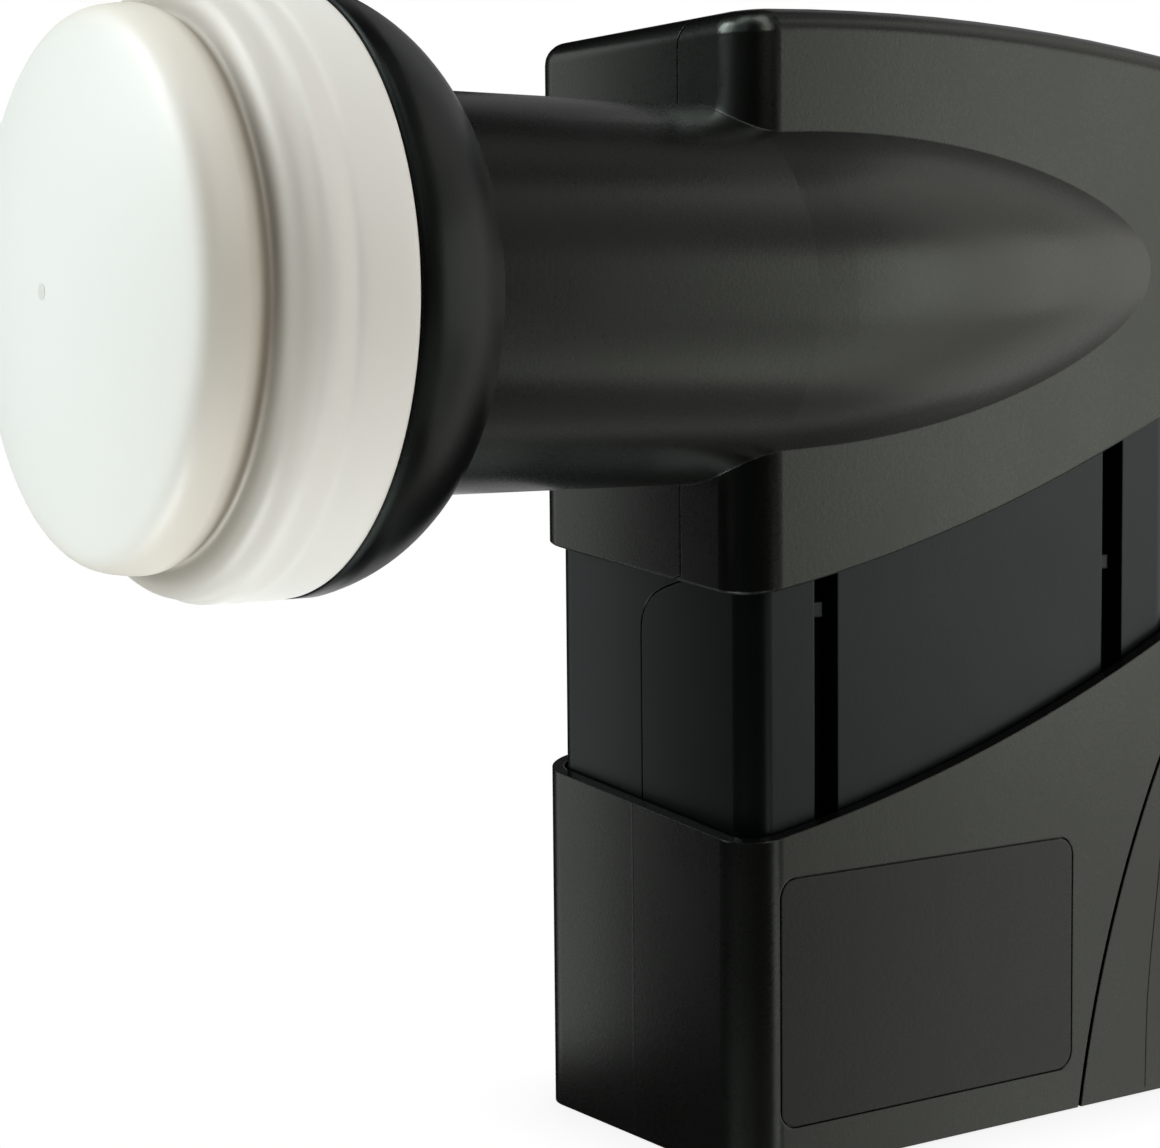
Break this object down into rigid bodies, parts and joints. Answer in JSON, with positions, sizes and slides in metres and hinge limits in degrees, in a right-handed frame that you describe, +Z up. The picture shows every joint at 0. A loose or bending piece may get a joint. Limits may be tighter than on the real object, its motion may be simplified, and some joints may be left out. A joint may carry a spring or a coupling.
{
  "type": "satellite lnb",
  "caption": "Satellite dish feed with a domed cap, a round clamp neck and a slim upright housing whose weather sleeve slides down over its coaxial sockets.",
  "frame": {"origin": "middle of the plain clamp neck, on its axis", "axes": "-Y along the neck towards the feed cap, +Z up, +X to the side that the neck's fairing shows on"},
  "size_m": [0.0588, 0.1379, 0.123],
  "materials": {
    "cap_plastic": "moulded, fine satin",
    "housing_plastic": "moulded, fine spark-eroded grain",
    "label_plastic": "smooth satin plate, bare",
    "seal_rubber": "moulded",
    "cast_aluminium": "as cast",
    "shield_aluminium": "pressed sheet",
    "contact_brass": "turned",
    "insulator_plastic": "turned",
    "board_laminate": "solder mask",
    "chip_plastic": "moulded",
    "screw_steel": "zinc plated",
    "connector_nickel": "nickel plated"
  },
  "bodies": {
    "housing": {"feed_cap": "cap_plastic", "cap_seal": "seal_rubber", "neck_collar": "housing_plastic", "housing_right": "housing_plastic", "housing_left": "housing_plastic", "chassis_casting": "cast_aluminium", "probe_horizontal": "contact_brass", "probe_vertical": "contact_brass", "probe_insulators": "insulator_plastic", "main_board": "board_laminate", "board_chips": "chip_plastic", "board_shield": "shield_aluminium", "shield_screws": "screw_steel", "chassis_screws": "screw_steel", "f_connector_1": "connector_nickel", "connector_insulator_1": "insulator_plastic", "connector_contact_1": "contact_brass", "connector_seal_1": "seal_rubber", "f_connector_2": "connector_nickel", "connector_insulator_2": "insulator_plastic", "connector_contact_2": "contact_brass", "connector_seal_2": "seal_rubber", "f_connector_3": "connector_nickel", "connector_insulator_3": "insulator_plastic", "connector_contact_3": "contact_brass", "connector_seal_3": "seal_rubber", "f_connector_4": "connector_nickel", "connector_insulator_4": "insulator_plastic", "connector_contact_4": "contact_brass", "connector_seal_4": "seal_rubber"},
    "sleeve": {"weather_sleeve": "housing_plastic", "label_plate": "label_plastic"}
  },
  "joints": [
    {"name": "sleeve_slide", "type": "slide", "parent": "housing", "child": "sleeve", "axis": [0, 0, 1], "range_m": [0, 0.0258]}
  ]
}
